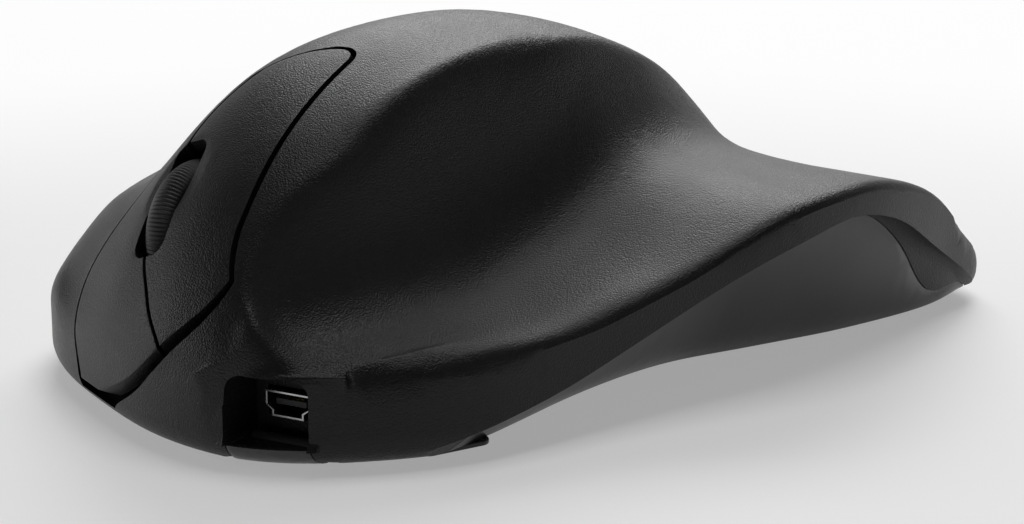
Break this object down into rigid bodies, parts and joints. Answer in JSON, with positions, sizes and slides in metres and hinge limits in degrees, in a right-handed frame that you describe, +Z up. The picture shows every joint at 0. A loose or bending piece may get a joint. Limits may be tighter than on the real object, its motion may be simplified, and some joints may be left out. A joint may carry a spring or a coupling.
{
  "type": "ergonomic mouse",
  "caption": "Right-handed sculpted desk mouse with a deep thumb scoop and wing, pressing buttons, a turning and clicking wheel, and a port in the nose.",
  "frame": {"origin": "centre of the outline at the desk, under the feet", "axes": "+Z up, +Y towards the nose with the buttons, +X to the user's right"},
  "size_m": [0.1264, 0.1533, 0.057],
  "materials": {
    "black_grain": "fine moulded grain",
    "base_satin": "smooth satin",
    "steel": "drawn",
    "inner_black": "moulded",
    "board_green": "solder mask",
    "white_nylon": "moulded",
    "red_nylon": "moulded",
    "wheel_rubber": "ribbed",
    "clear_resin": "clear",
    "dark_resin": "dark",
    "lens_clear": "clear",
    "lamp_red": "clear",
    "gilt": "gilt",
    "foil": "wrapped",
    "foot_slick": "smooth"
  },
  "bodies": {
    "housing": {"upper_shell": "black_grain", "base_shell": "base_satin", "button_pivot_pin": "steel", "inner_frame": "inner_black", "switch_board": "board_green", "left_switch": "inner_black", "right_switch": "inner_black", "middle_switch": "inner_black", "carrier_pin": "steel", "encoder_emitter": "clear_resin", "encoder_receiver": "dark_resin", "main_board": "board_green", "controller_chip": "inner_black", "sensor_chip": "inner_black", "sensor_lens": "lens_clear", "sensor_lamp": "lamp_red", "usb_socket_shell": "steel", "usb_socket_tongue": "inner_black", "usb_contacts": "gilt", "battery_cell": "foil", "power_switch_body": "inner_black", "glide_feet": "foot_slick", "case_screws": "steel", "board_screws": "steel"},
    "left_button": {"left_button": "black_grain"},
    "right_button": {"right_button": "black_grain"},
    "left_plunger": {"left_switch_plunger": "white_nylon"},
    "right_plunger": {"right_switch_plunger": "white_nylon"},
    "middle_plunger": {"middle_switch_plunger": "red_nylon"},
    "wheel_carrier": {"wheel_carrier": "white_nylon"},
    "wheel": {"wheel_tyre": "wheel_rubber", "wheel_hub": "inner_black", "wheel_axle": "steel"},
    "power_slider": {"power_switch_slider": "inner_black"}
  },
  "joints": [
    {"name": "left_button_press", "type": "hinge", "parent": "housing", "child": "left_button", "pos_m": [0.0121, 0.038, 0.036], "axis": [-1, 0, 0], "range_deg": [0, 1.6], "stiffness_Nm_per_rad": 0.9},
    {"name": "right_button_press", "type": "hinge", "parent": "housing", "child": "right_button", "pos_m": [0.0292, 0.038, 0.036], "axis": [-1, 0, 0], "range_deg": [0, 1.6], "stiffness_Nm_per_rad": 0.9},
    {"name": "left_plunger_slide", "type": "slide", "parent": "housing", "child": "left_plunger", "axis": [0, -0.6, -0.8], "range_m": [0, 0.00046]},
    {"name": "right_plunger_slide", "type": "slide", "parent": "housing", "child": "right_plunger", "axis": [0, -0.6, -0.8], "range_m": [0, 0.00046]},
    {"name": "wheel_click", "type": "hinge", "parent": "housing", "child": "wheel_carrier", "pos_m": [0.0212, 0.033, 0.034], "axis": [-1, 0, 0], "range_deg": [0, 1.2], "stiffness_Nm_per_rad": 1.5},
    {"name": "wheel_spin", "type": "hinge", "parent": "wheel_carrier", "child": "wheel", "pos_m": [0.0212, 0.05334, 0.02812], "axis": [1, 0, 0], "continuous": true},
    {"name": "middle_plunger_slide", "type": "slide", "parent": "housing", "child": "middle_plunger", "axis": [0, -0.6, -0.8], "range_m": [0, 0.0007]},
    {"name": "power_slide", "type": "slide", "parent": "housing", "child": "power_slider", "axis": [0, 1, 0], "range_m": [0, 0.0024]}
  ],
  "couplings": [
    {"joint": "left_plunger_slide", "follows": "left_button_press", "m_per_rad": 0.0162},
    {"joint": "right_plunger_slide", "follows": "right_button_press", "m_per_rad": 0.0162},
    {"joint": "middle_plunger_slide", "follows": "wheel_click", "m_per_rad": 0.033}
  ]
}
